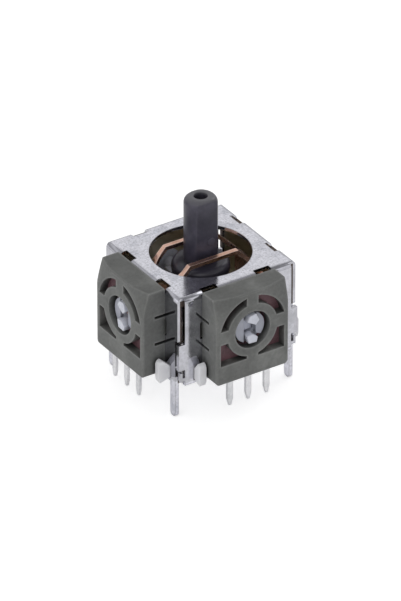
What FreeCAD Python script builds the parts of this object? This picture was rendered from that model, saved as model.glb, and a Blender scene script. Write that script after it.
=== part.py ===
import FreeCAD, Part
import math
import os

V = FreeCAD.Vector

# Levels, millimetres above the board the module stands on
PLATE_TOP = 11.7
AXIS_Z = 6.75
SHEET_FOOT = 0.05
LEG_TIP = -4.37
PIN_TIP = -3.0
STICK_TOP = 19.2

# Sheet metal frame
SHEET = 0.5
HALF_X = 8.05
HALF_Y = 7.9
BEND_R = 0.7
HOLE_R = 5.95
X_WALL_LAP = 0.13
X_WALL_STEP = 0.48
X_WALL_STEP_Z = 5.95
Y_WALL_GAP = 0.29
FINGER_PROUD = 0.05
FINGER_Z0 = 2.2
FINGER_Z1 = 5.6
HOOK_REACH = 0.62
HOOK_Z0 = 0.75
HOOK_Z1 = 1.85
HOOK_SLIT = 0.3
BEND_SLOT_AT = 3.65
BEND_SLOT_LEN = 2.1
BEND_SLOT_IN = 1.0
BEND_SLOT_DOWN = 0.65
LEG_W = 1.05
LEG_TIP_R = 0.45
DIMPLE_R = 0.32
DIMPLE_DEEP = 0.2
DIMPLE_AT = 6.48
DIMPLE_DOWN = 0.95

# Clearances and fits
TURN_GAP = 0.3
PIN_FIT = 0.05
SEAT_GAP = 0.15
SLOT_GAP = 0.1
PRESS_GAP = 0.45

# Moulded base
FLOOR = 0.8
RIM = 0.8
RIM_TOP = 2.4
BASE_CORNER_R = 0.5
GUIDE_WALL = 0.7
GUIDE_TOP = 3.9
POST_R = 1.2
POST_TOP = 1.6
LUG_W = 0.84
LUG_POT_GAP = 0.25
LUG_OUT_X = 1.5
LUG_OUT_Y = 1.25
LUG_NECK_LOW = 0.55
LUG_NECK_HIGH = 2.04
LUG_HEAD_LOW = 0.12
LUG_HEAD_HIGH = 2.95
LUG_NOSE = 0.5

# Sensor housings
POT_HALF = 4.9
POT_T = 3.0
POT_TOP = 11.75
POT_FOOT = 0.63
POT_FACE_WALL = 1.12
POT_SIDE_WALL = 0.45
POT_CORNER_R = 0.5
POT_EDGE = 0.12
BORE_R = 2.37
WINDOW_R0 = 3.4
WINDOW_R1 = 4.43
WINDOW_HALF = 4.33
WINDOW_FOOT = 3.1
SPOKE_V = 0.78
SPOKE_H = 0.87
SPOKE_UP = 0.1
FACET_R = 5.15
FACET_DEEP = 0.8
NOTCH_H = 0.37
NOTCH_DEEP = 1.4
NOTCH_HIGH = 8.3
NOTCH_LOW = 4.75
HOOK_LEN = 0.75
HOOK_HALF_H = 1.0
HOOK_LIP = 0.2

# Sensor boards, terminals, rotors and wipers
BOARD_T = 0.8
BOARD_GAP = 0.1
PITCH = 2.5
TERM_W = 0.8
TERM_T = 0.3
TERM_TOP = 2.9
TERM_TAPER = 0.9
TERM_TIP_W = 0.36
ROTOR_SINK = 0.15
ROTOR_FLANGE_R = 3.4
ROTOR_FLANGE_T = 0.5
ROTOR_NECK_R = 1.9
ROTOR_INSIDE = 0.85
HOLLOW = 0.72
CHEEK_IN = 0.8
CHEEK_DEEP = 0.6
CHEEK_FOOT = 1.45
CHEEK_SINK = 0.12
PAD_OUT = 2.0
PAD_IN = 0.75
PAD_WIDE = 1.1
PAD_NARROW = 0.55
WIPER_R0 = 2.45
WIPER_T = 0.15
WIPER_HOLD = 0.5
FINGER_R = 2.9
FINGER_W = 0.5
FINGER_SIDE = 0.9

# Upper rocker
ARCH_TOP = 12.15
ARCH_T = 0.5
ARCH_FLAT = 3.3
ARCH_SIDE_GAP = 1.1
ARCH_HALF = 2.87
ARCH_SLOT = 2.25
ARCH_SLOT_IN = 0.55
EAR_HALF = 2.0
TAB_HALF = 0.6
TAB_IN = 1.85
STUB_R = 1.2
STUB_END = 0.3

# Lower rocker and pivot pin
RING_X = 2.0
RING_Y = 2.6
RING_TOP = 0.55
RING_FOOT = -1.2
BOSS_X = 2.9
BOSS_Y = 1.2
BOSS_TOP = 1.0
OPEN_Y = 2.2
ARM_X = 1.5
ARM_TOP = -0.25
ARM_FOOT = -1.4
ARM_OUT = 5.6
ARM_RISE = 4.7
JOURNAL_R = 1.2
HUMP_X = 1.3
HUMP_Y = 4.3
HUMP_TOP = 0.35
BACK_R = 0.75
BACK_PAST = 0.2
COLLAR_R = 1.65
COLLAR_T = 0.4
TONGUE = 0.6
TONGUE_IN = 1.7
PIN_R = 0.6

# Stick
STICK_R = 1.98
STICK_FLAT = 1.42
BEVEL_Z = 18.3
BEVEL_R = 1.5
TIP_HOLE_R = 0.8
TIP_HOLE_DEEP = 4.0
MARK_R = 0.5
MARK_HIGH = 0.08
MARK_X = 0.48
MARK_Z = 13.5
CROWN_R = 3.4
CROWN_TOP = 10.75
CROWN_FOOT = 8.6
CROWN_ROUND_TOP = 0.75
CROWN_ROUND_FOOT = 0.95
STEM_X = 1.3
STEM_Y = 1.5
FOOT_R = 2.55
FOOT_HALF = 0.6
FOOT_TAPER = 1.3

# Return disc and spring
DISC_R = 3.25
DISC_T = 0.8
FOOT_GAP = 0.3
WIRE_R = 0.16
COIL_R = 1.9
TURNS = 3
STEPS = 12

# Push switch on the far wall
SW_HALF = 3.3
SW_T = 3.0
SW_FOOT = 0.3
SW_TOP = 3.6
SW_WALL = 0.6
SW_COVER_T = 0.2
SW_COVER_DOWN = 1.6
PLUNGER_R = 1.0
PLUNGER_FLANGE = 1.5
PLUNGER_FLANGE_T = 0.5
SNAP_R = 1.7
SNAP_T = 0.12
SNAP_RISE = 0.35
SW_PEG_R = 0.4
SW_PEG_AT = 2.4
SW_PEG_Z = 1.9
SW_PIN_W = 0.7
SW_PIN_T = 0.25
SW_PIN_IN = 0.8
SW_PIN_AT = 2.2

# Places that follow from the sizes above
X_WALL_END = HALF_Y - SHEET + X_WALL_LAP
X_WALL_STEP_END = X_WALL_END - X_WALL_STEP
Y_WALL_END = HALF_X - SHEET - Y_WALL_GAP
FINGER_END = HALF_X + FINGER_PROUD
LUG_AT = POT_HALF + LUG_POT_GAP + LUG_W / 2
ARCH_EAR_X = HALF_X - SHEET - ARCH_SIDE_GAP
ARCH_SLOT_END = ARCH_EAR_X - ARCH_SLOT_IN
ROTOR_FACE = ROTOR_SINK - POT_T
WIPER_TRACK = POT_FACE_WALL + BOARD_T + BOARD_GAP - POT_T
FLANGE_SEAT = WIPER_TRACK + WIPER_T + 0.13


def box(x0, x1, y0, y1, z0, z1):
    return Part.makeBox(x1 - x0, y1 - y0, z1 - z0, V(x0, y0, z0))


def rod(r, start, direction, length):
    return Part.makeCylinder(r, length, V(*start), V(*direction))


def prism(points, along):
    corners = [V(*p) for p in points]
    corners.append(corners[0])
    return Part.Face(Part.makePolygon(corners)).extrude(V(*along))


def fused(shapes):
    whole = shapes[0].fuse(shapes[1:])
    return whole.removeSplitter()


def cut_all(shape, tools):
    for tool in tools:
        shape = shape.cut(tool)
    return shape


def edges_where(shape, test):
    return [e for e in shape.Edges if all(test(v.Point) for v in e.Vertexes)]


def mirrored(shape, across_x, across_y):
    out = shape.copy()
    if across_x:
        out = out.mirror(V(0, 0, 0), V(1, 0, 0))
    if across_y:
        out = out.mirror(V(0, 0, 0), V(0, 1, 0))
    return out


def four_corners(shape):
    return [mirrored(shape, a, b) for a in (False, True) for b in (False, True)]


# A shape drawn on the front wall, with its wall face on the plane y 0, is set on its wall
def on_front_wall(shape):
    out = shape.copy()
    out.translate(V(0, -HALF_Y, 0))
    return out


def on_left_wall(shape):
    out = shape.copy()
    out.rotate(V(0, 0, 0), V(0, 0, 1), -90)
    out.translate(V(-HALF_X, 0, 0))
    return out


# Frame: one plate with a round hole, four bent skirts and four legs

def bent_shell():
    outer = box(-HALF_X, HALF_X, -HALF_Y, HALF_Y, SHEET_FOOT, PLATE_TOP)
    top = edges_where(outer, lambda p: abs(p.z - PLATE_TOP) < 1e-6)
    outer = outer.makeFillet(BEND_R, top)
    ix = HALF_X - SHEET
    iy = HALF_Y - SHEET
    iz = PLATE_TOP - SHEET
    inner = box(-ix, ix, -iy, iy, SHEET_FOOT - 1, iz)
    roof = edges_where(inner, lambda p: abs(p.z - iz) < 1e-6)
    inner = inner.makeFillet(BEND_R - SHEET, roof)
    return outer.cut(inner)


def corner_cuts():
    full = box(Y_WALL_END, HALF_X + 1, X_WALL_END, HALF_Y + 1, SHEET_FOOT - 1, PLATE_TOP + 1)
    inside = box(Y_WALL_END, HALF_X - SHEET, HALF_Y - 2 * SHEET, HALF_Y + 1,
                 SHEET_FOOT - 1, PLATE_TOP - SHEET - BEND_R)
    step = box(HALF_X - SHEET - 0.1, HALF_X + 1, X_WALL_STEP_END, X_WALL_END + 1,
               SHEET_FOOT - 1, X_WALL_STEP_Z)
    return four_corners(full) + four_corners(inside) + four_corners(step)


def bend_slots():
    half = BEND_SLOT_LEN / 2
    low = PLATE_TOP - BEND_SLOT_DOWN
    along_x = box(BEND_SLOT_AT - half, BEND_SLOT_AT + half, HALF_Y - BEND_SLOT_IN, HALF_Y + 1,
                  low, PLATE_TOP + 1)
    along_y = box(HALF_X - BEND_SLOT_IN, HALF_X + 1, BEND_SLOT_AT - half, BEND_SLOT_AT + half,
                  low, PLATE_TOP + 1)
    return four_corners(along_x) + four_corners(along_y)


def lug_slots():
    half = LUG_W / 2 + SLOT_GAP
    z0 = LUG_NECK_LOW - SLOT_GAP
    z1 = LUG_NECK_HIGH + SLOT_GAP
    in_x = box(HALF_X - SHEET - 0.1, HALF_X + 0.1, LUG_AT - half, LUG_AT + half, z0, z1)
    in_y = box(LUG_AT - half, LUG_AT + half, HALF_Y - SHEET - 0.1, HALF_Y + 0.1, z0, z1)
    return four_corners(in_x) + four_corners(in_y)


def wall_holes():
    deep = SHEET + 1
    rotor_hole = rod(ROTOR_NECK_R + TURN_GAP, (0, deep / 2, AXIS_Z), (0, -1, 0), deep)
    hook_u0 = POT_HALF - POT_SIDE_WALL - SLOT_GAP
    hook_u1 = POT_HALF + HOOK_LIP + SLOT_GAP
    hook = box(hook_u0, hook_u1, -deep / 2, deep / 2,
               AXIS_Z - HOOK_HALF_H - SLOT_GAP, AXIS_Z + HOOK_HALF_H + SLOT_GAP)
    hooks = [hook, mirrored(hook, True, False)]
    front = [on_front_wall(s) for s in [rotor_hole] + hooks]
    left = [on_left_wall(s) for s in [rotor_hole] + hooks]
    stub = rod(STUB_R + TURN_GAP, (HALF_X - deep, 0, AXIS_Z), (1, 0, 0), 2 * deep)
    r = BACK_R + TURN_GAP
    y0 = HALF_Y - deep
    slot = rod(r, (0, y0, AXIS_Z), (0, 1, 0), 2 * deep)
    slot_low = rod(r, (0, y0, AXIS_Z - PRESS_GAP), (0, 1, 0), 2 * deep)
    slot_mid = box(-r, r, y0, y0 + 2 * deep, AXIS_Z - PRESS_GAP, AXIS_Z)
    peg = rod(SW_PEG_R + SLOT_GAP, (SW_PEG_AT, y0, SW_PEG_Z), (0, 1, 0), 2 * deep)
    return front + left + [stub, slot, slot_low, slot_mid, peg, mirrored(peg, True, False)]


def leg():
    y1 = X_WALL_STEP_END
    y0 = y1 - LEG_W
    shape = box(HALF_X - SHEET, HALF_X, y0, y1, LEG_TIP, SHEET_FOOT + 1)
    tip = edges_where(shape, lambda p: abs(p.z - LEG_TIP) < 1e-6)
    tip = [e for e in tip if abs(e.Vertexes[0].Y - e.Vertexes[1].Y) < 1e-6]
    return shape.makeFillet(LEG_TIP_R, tip)


def wall_fingers():
    y0 = HALF_Y - SHEET
    finger = box(Y_WALL_END - 0.5, FINGER_END, y0, HALF_Y, FINGER_Z0, FINGER_Z1)
    tab = box(Y_WALL_END - 0.5, Y_WALL_END + HOOK_REACH, y0, HALF_Y, HOOK_Z0, HOOK_Z1)
    slit_mid = (HOOK_Z0 + HOOK_Z1) / 2
    slit = box(Y_WALL_END, Y_WALL_END + HOOK_REACH - HOOK_SLIT, y0 - 1, HALF_Y + 1,
               slit_mid - HOOK_SLIT / 2, HOOK_Z1 + 1)
    return four_corners(finger) + four_corners(tab.cut(slit))


def make_frame():
    shell = bent_shell()
    hole = rod(HOLE_R, (0, 0, PLATE_TOP - 2 * SHEET), (0, 0, 1), 4 * SHEET)
    shell = cut_all(shell, [hole] + corner_cuts() + bend_slots())
    shell = fused([shell] + four_corners(leg()) + wall_fingers())
    shell = cut_all(shell, lug_slots() + wall_holes())
    dimple = rod(DIMPLE_R, (-DIMPLE_AT, -HALF_Y, PLATE_TOP - DIMPLE_DOWN), (0, 1, 0), DIMPLE_DEEP)
    return shell.cut(dimple)


# Base: tray with a rim, eight lugs and the guide for the return disc

def lug_outline(out):
    neck = SHEET + SEAT_GAP + RIM / 2
    return [(-neck, LUG_NECK_LOW), (-neck, LUG_NECK_HIGH), (0, LUG_NECK_HIGH),
            (out - LUG_NOSE, LUG_HEAD_HIGH), (out - LUG_NOSE / 3, LUG_HEAD_HIGH - LUG_NOSE / 3),
            (out, LUG_HEAD_HIGH - LUG_NOSE), (out, LUG_HEAD_LOW + LUG_NOSE),
            (out - LUG_NOSE / 3, LUG_HEAD_LOW), (0, LUG_NECK_LOW)]


def lug_x():
    points = [(HALF_X + u, LUG_AT - LUG_W / 2, z) for u, z in lug_outline(LUG_OUT_X)]
    return prism(points, (0, LUG_W, 0))


def lug_y():
    points = [(LUG_AT - LUG_W / 2, HALF_Y + u, z) for u, z in lug_outline(LUG_OUT_Y)]
    return prism(points, (LUG_W, 0, 0))


def make_base():
    bx = HALF_X - SHEET - SEAT_GAP
    by = HALF_Y - SHEET - SEAT_GAP
    block = box(-bx, bx, -by, by, 0, RIM_TOP)
    uprights = [e for e in block.Edges if abs(e.Vertexes[0].Z - e.Vertexes[1].Z) > 1]
    block = block.makeFillet(BASE_CORNER_R, uprights)
    tray = block.cut(box(-bx + RIM, bx - RIM, -by + RIM, by - RIM, FLOOR, RIM_TOP + 1))
    guide_in = DISC_R + TURN_GAP
    guide = rod(guide_in + GUIDE_WALL, (0, 0, FLOOR / 2), (0, 0, 1), GUIDE_TOP - FLOOR / 2)
    guide = guide.cut(rod(guide_in, (0, 0, 0), (0, 0, 1), GUIDE_TOP + 1))
    post = rod(POST_R, (0, 0, FLOOR / 2), (0, 0, 1), POST_TOP - FLOOR / 2)
    return fused([tray, guide, post] + four_corners(lug_x()) + four_corners(lug_y()))


# Sensor housing, drawn with its back on the plane y 0 and its face towards -Y

def housing_block():
    block = box(-POT_HALF, POT_HALF, -POT_T, 0, POT_FOOT, POT_TOP)
    low = [e for e in block.Edges
           if all(abs(v.Z - POT_FOOT) < 1e-6 for v in e.Vertexes)
           and abs(e.Vertexes[0].Y - e.Vertexes[1].Y) > 1]
    block = block.makeFillet(POT_CORNER_R, low)
    rim = [e for e in block.Edges if all(abs(v.Y + POT_T) < 1e-6 for v in e.Vertexes)]
    block = block.makeChamfer(POT_EDGE, rim)
    far = 2 * POT_HALF
    slope = FACET_DEEP / (math.sqrt(2) * POT_HALF - FACET_R)
    points = [V(FACET_R, -POT_T, 0), V(far, -POT_T, 0), V(far, -POT_T + (far - FACET_R) * slope, 0)]
    points.append(points[0])
    ring = Part.Face(Part.makePolygon(points)).revolve(V(0, 0, 0), V(0, 1, 0), 360)
    ring.translate(V(0, 0, AXIS_Z))
    return block.cut(ring.common(box(-far, far, -2 * POT_T, POT_T, AXIS_Z, 3 * AXIS_Z)))


def windows():
    deep = POT_T + 2
    outer = rod(WINDOW_R1, (0, 1, AXIS_Z), (0, -1, 0), deep)
    upper = outer.common(box(-POT_HALF, POT_HALF, -deep, 2, AXIS_Z, POT_TOP))
    lower = box(-WINDOW_HALF, WINDOW_HALF, 1 - deep, 1, WINDOW_FOOT, AXIS_Z)
    core = rod(WINDOW_R0, (0, 2, AXIS_Z), (0, -1, 0), deep + 2)
    mid = AXIS_Z + SPOKE_UP
    bar_v = box(-SPOKE_V, SPOKE_V, -deep, 2, 0, POT_TOP)
    bar_h = box(-POT_HALF, POT_HALF, -deep, 2, mid - SPOKE_H, mid + SPOKE_H)
    return upper.fuse(lower).cut(core).cut(bar_v).cut(bar_h)


def housing_hook():
    u0 = POT_HALF - POT_SIDE_WALL
    points = [(u0, -0.3, AXIS_Z - HOOK_HALF_H), (POT_HALF, -0.3, AXIS_Z - HOOK_HALF_H),
              (POT_HALF, SHEET + 0.02, AXIS_Z - HOOK_HALF_H),
              (POT_HALF + HOOK_LIP, SHEET + 0.02, AXIS_Z - HOOK_HALF_H),
              (POT_HALF, HOOK_LEN + SHEET, AXIS_Z - HOOK_HALF_H),
              (u0, HOOK_LEN + SHEET, AXIS_Z - HOOK_HALF_H)]
    return prism(points, (0, 0, 2 * HOOK_HALF_H))


def terminal_slots():
    tools = []
    front = -POT_T + POT_FACE_WALL - TERM_T - 0.02
    w = TERM_W / 2 + 0.05
    for i in (-1, 0, 1):
        tools.append(box(i * PITCH - w, i * PITCH + w, front, front + TERM_T + 0.05,
                         POT_FOOT - 1, TERM_TOP + 0.1))
    return tools


def housing():
    block = housing_block()
    u = POT_HALF - POT_SIDE_WALL
    cavity = box(-u, u, -POT_T + POT_FACE_WALL, 1, POT_FOOT + POT_SIDE_WALL + 0.1,
                 POT_TOP - POT_SIDE_WALL)
    bore = rod(BORE_R, (0, 1, AXIS_Z), (0, -1, 0), POT_T + 2)
    block = cut_all(block, [cavity, bore, windows()] + terminal_slots())
    hook = housing_hook()
    block = fused([block, hook, mirrored(hook, True, False)])
    for z in (NOTCH_HIGH, NOTCH_LOW):
        notch = box(u - 0.5, POT_HALF + 1, -NOTCH_DEEP, 1, z - NOTCH_H / 2, z + NOTCH_H / 2)
        block = cut_all(block, [notch, mirrored(notch, True, False)])
    return block


def sensor_board():
    u = POT_HALF - POT_SIDE_WALL - BOARD_GAP
    y0 = -POT_T + POT_FACE_WALL
    z0 = POT_FOOT + POT_SIDE_WALL + 0.1 + BOARD_GAP
    plate = box(-u, u, y0, y0 + BOARD_T, z0, POT_TOP - POT_SIDE_WALL - BOARD_GAP)
    return plate.cut(rod(BORE_R, (0, 1, AXIS_Z), (0, -1, 0), POT_T + 2))


def sensor_terminal(index):
    front = -POT_T + POT_FACE_WALL - TERM_T
    w = TERM_W / 2
    t = TERM_TIP_W / 2
    u = index * PITCH
    points = [(u - w, front, TERM_TOP), (u - w, front, PIN_TIP + TERM_TAPER),
              (u - t, front, PIN_TIP), (u + t, front, PIN_TIP),
              (u + w, front, PIN_TIP + TERM_TAPER), (u + w, front, TERM_TOP)]
    return prism(points, (0, TERM_T, 0))


# Rotor: barrel in the housing bore, flange for the wiper, neck through the frame wall

def rotor_cheeks():
    r = BORE_R - TURN_GAP
    disc = rod(r, (0, ROTOR_FACE + CHEEK_SINK, AXIS_Z), (0, 1, 0), CHEEK_DEEP - CHEEK_SINK + 0.1)
    left = disc.common(box(-r, -CHEEK_IN, ROTOR_FACE - 1, 0, 0, POT_TOP))
    right = disc.common(box(CHEEK_IN, r, ROTOR_FACE - 1, 0, AXIS_Z - CHEEK_FOOT, POT_TOP))
    return [left, right]


def rotor_pads():
    upper = [(-PAD_NARROW, 1.4 * PAD_IN), (-PAD_NARROW / 2, PAD_OUT), (PAD_NARROW, PAD_OUT),
             (PAD_WIDE, PAD_IN), (PAD_NARROW, PAD_IN / 2)]
    lower = [(-PAD_IN, -PAD_IN), (-PAD_NARROW, -PAD_OUT), (PAD_NARROW, -PAD_OUT), (PAD_NARROW, -PAD_WIDE)]
    pads = []
    for outline in (upper, lower):
        points = [(u, ROTOR_FACE, AXIS_Z + v) for u, v in outline]
        pads.append(prism(points, (0, CHEEK_DEEP + 0.1, 0)))
    return pads


def rotor():
    start = ROTOR_FACE + CHEEK_DEEP
    barrel = rod(BORE_R - TURN_GAP, (0, start, AXIS_Z), (0, 1, 0), FLANGE_SEAT - start + 0.1)
    flange = rod(ROTOR_FLANGE_R, (0, FLANGE_SEAT, AXIS_Z), (0, 1, 0), ROTOR_FLANGE_T)
    neck = rod(ROTOR_NECK_R, (0, FLANGE_SEAT, AXIS_Z), (0, 1, 0), ROTOR_INSIDE - FLANGE_SEAT)
    hollow = box(-HOLLOW, HOLLOW, start - 0.1, ROTOR_INSIDE + 1, AXIS_Z - HOLLOW, AXIS_Z + HOLLOW)
    body = fused([barrel, flange, neck]).cut(hollow)
    return fused([body] + rotor_cheeks() + rotor_pads())


def wiper():
    ring = rod(ROTOR_FLANGE_R, (0, FLANGE_SEAT - WIPER_T, AXIS_Z), (0, 1, 0), WIPER_T)
    ring = ring.cut(rod(WIPER_R0, (0, FLANGE_SEAT - 1, AXIS_Z), (0, 1, 0), 2))
    pieces = [ring]
    for side in (-1, 1):
        u = side * FINGER_R
        pieces.append(box(u - FINGER_W / 2, u + FINGER_W / 2, WIPER_TRACK, FLANGE_SEAT - WIPER_T / 2,
                          AXIS_Z - FINGER_SIDE / 2, AXIS_Z + FINGER_SIDE / 2))
    return fused(pieces)


# Upper rocker: pressed arch with a long slot, two ears, a drive tab and a stub

def arch_band():
    inner = ARCH_T * (math.sqrt(2) - 1)
    ear_top = ARCH_TOP - (ARCH_EAR_X - ARCH_FLAT)
    foot = AXIS_Z
    flat_in = ARCH_FLAT - inner
    ear_in = ear_top - inner
    points = [(-ARCH_EAR_X, foot), (-ARCH_EAR_X, ear_top), (-ARCH_FLAT, ARCH_TOP),
              (ARCH_FLAT, ARCH_TOP), (ARCH_EAR_X, ear_top), (ARCH_EAR_X, foot),
              (ARCH_EAR_X - ARCH_T, foot), (ARCH_EAR_X - ARCH_T, ear_in),
              (flat_in, ARCH_TOP - ARCH_T), (-flat_in, ARCH_TOP - ARCH_T),
              (-ARCH_EAR_X + ARCH_T, ear_in), (-ARCH_EAR_X + ARCH_T, foot)]
    band = prism([(x, -ARCH_HALF, z) for x, z in points], (0, 2 * ARCH_HALF, 0))
    side = box(ARCH_EAR_X - 1, ARCH_EAR_X + 1, EAR_HALF, ARCH_HALF + 1, 0, ear_top - 0.6)
    return cut_all(band, four_corners(side))


def make_upper_rocker():
    band = arch_band()
    ear_end = rod(EAR_HALF, (ARCH_EAR_X - ARCH_T, 0, AXIS_Z), (1, 0, 0), ARCH_T)
    tab = box(-HALF_X - TAB_IN, -ARCH_EAR_X + ARCH_T, -TAB_HALF, TAB_HALF,
              AXIS_Z - ARCH_T / 2, AXIS_Z + ARCH_T / 2)
    stub = rod(STUB_R, (ARCH_EAR_X - ARCH_T, 0, AXIS_Z), (1, 0, 0),
               HALF_X + STUB_END - ARCH_EAR_X + ARCH_T)
    whole = fused([band, ear_end, mirrored(ear_end, True, False), tab, stub])
    run = ARCH_SLOT_END - ARCH_SLOT
    slot = box(-run, run, -ARCH_SLOT, ARCH_SLOT, AXIS_Z + EAR_HALF, ARCH_TOP + 1)
    ends = [rod(ARCH_SLOT, (s * run, 0, AXIS_Z + EAR_HALF), (0, 0, 1), ARCH_TOP) for s in (-1, 1)]
    return cut_all(whole, [slot] + ends)


# Lower rocker: ring round the stem with dipped arms, a tongue and a switch arm

def make_lower_rocker():
    z = AXIS_Z
    frame_ring = box(-RING_X, RING_X, -RING_Y, RING_Y, z + RING_FOOT, z + RING_TOP)
    bosses = box(-BOSS_X, BOSS_X, -BOSS_Y, BOSS_Y, z + RING_FOOT, z + BOSS_TOP)
    arms = box(-ARM_X, ARM_X, -ARM_OUT, ARM_OUT, z + ARM_FOOT, z + ARM_TOP)
    front_end = HALF_Y - ROTOR_INSIDE - SEAT_GAP
    front = rod(JOURNAL_R, (0, -front_end, z), (0, 1, 0), front_end - ARM_RISE)
    hump = box(-HUMP_X, HUMP_X, HUMP_Y, ARM_OUT, z + ARM_FOOT, z + HUMP_TOP)
    back_end = HALF_Y + SW_T / 2 + BACK_PAST
    back = rod(BACK_R, (0, HUMP_Y, z), (0, 1, 0), back_end - HUMP_Y)
    collar = rod(COLLAR_R, (0, HALF_Y - SHEET - SEAT_GAP, z), (0, -1, 0), COLLAR_T)
    tongue = box(-TONGUE, TONGUE, -HALF_Y - TONGUE_IN, -ARM_RISE, z - TONGUE, z + TONGUE)
    whole = fused([frame_ring, bosses, arms, hump, front, back, collar, tongue])
    gap = SEAT_GAP
    opening = box(-STEM_X - gap, STEM_X + gap, -OPEN_Y, OPEN_Y, z + ARM_FOOT - 1, z + BOSS_TOP + 1)
    pin = rod(PIN_R, (-BOSS_X - 1, 0, z), (1, 0, 0), 2 * BOSS_X + 2)
    return cut_all(whole, [opening, pin])


def make_pivot_pin():
    return rod(PIN_R, (-BOSS_X, 0, AXIS_Z), (1, 0, 0), 2 * BOSS_X)


# Stick: flatted shaft, rounded crown under the arch and the stem that carries the pin

def stick_shaft():
    shaft = rod(STICK_R, (0, 0, CROWN_TOP - 0.5), (0, 0, 1), BEVEL_Z - CROWN_TOP + 0.5)
    nose = Part.makeCone(STICK_R, BEVEL_R, STICK_TOP - BEVEL_Z, V(0, 0, BEVEL_Z), V(0, 0, 1))
    shaft = shaft.fuse(nose)
    flat = box(-STICK_R - 1, STICK_R + 1, STICK_FLAT, STICK_R + 1, 0, STICK_TOP + 1)
    shaft = cut_all(shaft, [flat, mirrored(flat, False, True)])
    mark = rod(MARK_R, (MARK_X, -STICK_FLAT - MARK_HIGH, MARK_Z), (0, 1, 0), MARK_HIGH + 0.1)
    return shaft.fuse(mark)


def stick_crown():
    low = CROWN_ROUND_FOOT
    high = CROWN_ROUND_TOP
    outline = [(0, CROWN_FOOT), (CROWN_R - low, CROWN_FOOT), (CROWN_R - 0.3 * low, CROWN_FOOT + 0.4 * low),
               (CROWN_R, CROWN_FOOT + low), (CROWN_R, CROWN_TOP - high),
               (CROWN_R - 0.3 * high, CROWN_TOP - 0.3 * high), (CROWN_R - high, CROWN_TOP), (0, CROWN_TOP)]
    corners = [V(r, 0, z) for r, z in outline]
    corners.append(corners[0])
    return Part.Face(Part.makePolygon(corners)).revolve(V(0, 0, 0), V(0, 0, 1), 360)


def stick_stem():
    top = CROWN_FOOT + 0.5
    tip = AXIS_Z - FOOT_R
    bend = tip + FOOT_TAPER
    across = [(-STEM_X, top), (STEM_X, top), (STEM_X, bend),
              (FOOT_HALF, tip), (-FOOT_HALF, tip), (-STEM_X, bend)]
    along = [(-STEM_Y, top), (STEM_Y, top), (STEM_Y, bend),
             (FOOT_HALF, tip), (-FOOT_HALF, tip), (-STEM_Y, bend)]
    front = prism([(x, -STEM_Y, z) for x, z in across], (0, 2 * STEM_Y, 0))
    side = prism([(-STEM_X, y, z) for y, z in along], (2 * STEM_X, 0, 0))
    return front.common(side)


def make_stick():
    whole = fused([stick_shaft(), stick_crown(), stick_stem()])
    pin = rod(PIN_R + PIN_FIT, (-STICK_R - 1, 0, AXIS_Z), (1, 0, 0), 2 * STICK_R + 2)
    tip = rod(TIP_HOLE_R, (0, 0, STICK_TOP - TIP_HOLE_DEEP), (0, 0, 1), TIP_HOLE_DEEP + 1)
    return cut_all(whole, [pin, tip])


# Return disc on its coil spring

def make_return_disc():
    top = AXIS_Z - FOOT_R - FOOT_GAP
    return rod(DISC_R, (0, 0, top - DISC_T), (0, 0, 1), DISC_T)


def make_return_spring():
    top = AXIS_Z - FOOT_R - FOOT_GAP - DISC_T
    rise = top - FLOOR - 2 * WIRE_R
    count = TURNS * STEPS
    points = []
    for i in range(count + 1):
        angle = 2 * math.pi * i / STEPS
        height = FLOOR + WIRE_R + rise * i / count
        points.append(V(COIL_R * math.cos(angle), COIL_R * math.sin(angle), height))
    path = Part.Wire(Part.makePolygon(points))
    corners = []
    for i in range(7):
        angle = math.pi * i / 3
        corners.append(points[0] + V(WIRE_R * math.cos(angle), 0, WIRE_R * math.sin(angle)))
    section = Part.Wire(Part.makePolygon(corners))
    return path.makePipeShell([section], True, True, 1)


# Push switch under the rocker's far end

def make_switch_housing():
    body = box(-SW_HALF, SW_HALF, HALF_Y, HALF_Y + SW_T, SW_FOOT, SW_TOP)
    mid = HALF_Y + SW_T / 2
    room = PLUNGER_FLANGE - 0.15
    well = box(-SNAP_R - SLOT_GAP, SNAP_R + SLOT_GAP, mid - room, mid + room, SW_FOOT + SW_WALL, SW_TOP + 1)
    body = body.cut(well)
    peg = rod(SW_PEG_R, (SW_PEG_AT, HALF_Y - SHEET, SW_PEG_Z), (0, 1, 0), SHEET + SW_WALL)
    body = fused([body, peg, mirrored(peg, True, False)])
    slots = []
    for side in (-1, 1):
        x = side * SW_PIN_AT
        slots.append(box(x - SW_PIN_W / 2 - 0.02, x + SW_PIN_W / 2 + 0.02, mid - SW_PIN_IN - SW_PIN_T / 2,
                         mid - SW_PIN_IN + SW_PIN_T / 2, SW_FOOT - 1, SW_FOOT + SW_WALL))
        slots.append(box(x - SW_PIN_W / 2 - 0.02, x + SW_PIN_W / 2 + 0.02, mid + SW_PIN_IN - SW_PIN_T / 2,
                         mid + SW_PIN_IN + SW_PIN_T / 2, SW_FOOT - 1, SW_FOOT + SW_WALL))
    return cut_all(body, slots)


def switch_terminal(side, row):
    mid = HALF_Y + SW_T / 2
    x = side * SW_PIN_AT
    y = mid + row * SW_PIN_IN
    w = SW_PIN_W / 2
    t = SW_PIN_T / 2
    points = [(x - w, y - t, SW_FOOT + SW_WALL), (x - w, y - t, PIN_TIP + TERM_TAPER),
              (x - w / 2, y - t, PIN_TIP), (x + w / 2, y - t, PIN_TIP),
              (x + w, y - t, PIN_TIP + TERM_TAPER), (x + w, y - t, SW_FOOT + SW_WALL)]
    return prism(points, (0, SW_PIN_T, 0))


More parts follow.
